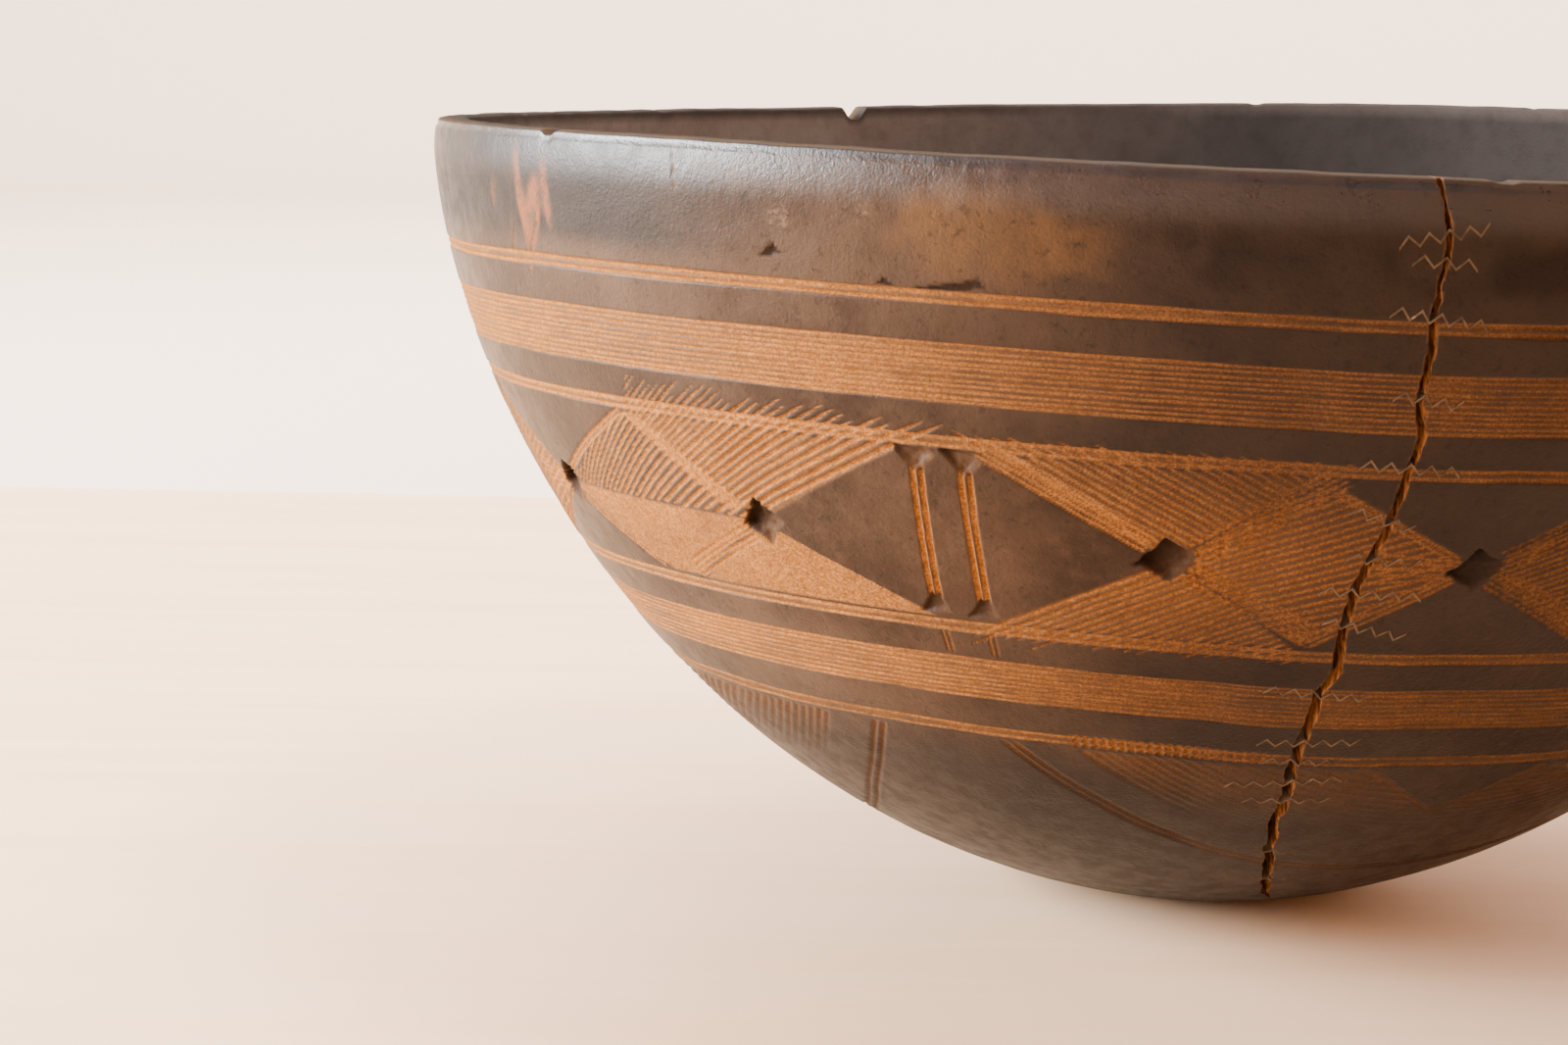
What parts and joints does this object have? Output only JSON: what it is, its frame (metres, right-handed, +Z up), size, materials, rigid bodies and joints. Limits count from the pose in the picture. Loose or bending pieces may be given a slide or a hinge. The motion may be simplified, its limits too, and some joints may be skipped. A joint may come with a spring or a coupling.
{
  "type": "carved wooden bowl",
  "caption": "Deep round-bottomed wooden bowl with bands of incised carving, split down one side and held with corrugated steel fasteners.",
  "frame": {"origin": "centre of the worn flat foot, on the surface that the bowl stands on", "axes": "+Z up along the bowl's axis, -Y towards the split side, +X to the right seen from the split side"},
  "size_m": [0.41, 0.41, 0.2023],
  "materials": {
    "wood": "dark waxed patina, orange-brown where it is carved",
    "steel": "dull, slightly rusted, worn bright on the crests"
  },
  "bodies": {
    "root": {"bowl": "wood", "corrugated_fastener_01": "steel", "corrugated_fastener_02": "steel", "corrugated_fastener_03": "steel", "corrugated_fastener_04": "steel", "corrugated_fastener_05": "steel", "corrugated_fastener_06": "steel", "corrugated_fastener_07": "steel", "corrugated_fastener_08": "steel", "corrugated_fastener_09": "steel", "corrugated_fastener_10": "steel", "corrugated_fastener_11": "steel", "corrugated_fastener_12": "steel", "corrugated_fastener_13": "steel", "corrugated_fastener_14": "steel", "corrugated_fastener_15": "steel", "corrugated_fastener_16": "steel"}
  },
  "joints": []
}
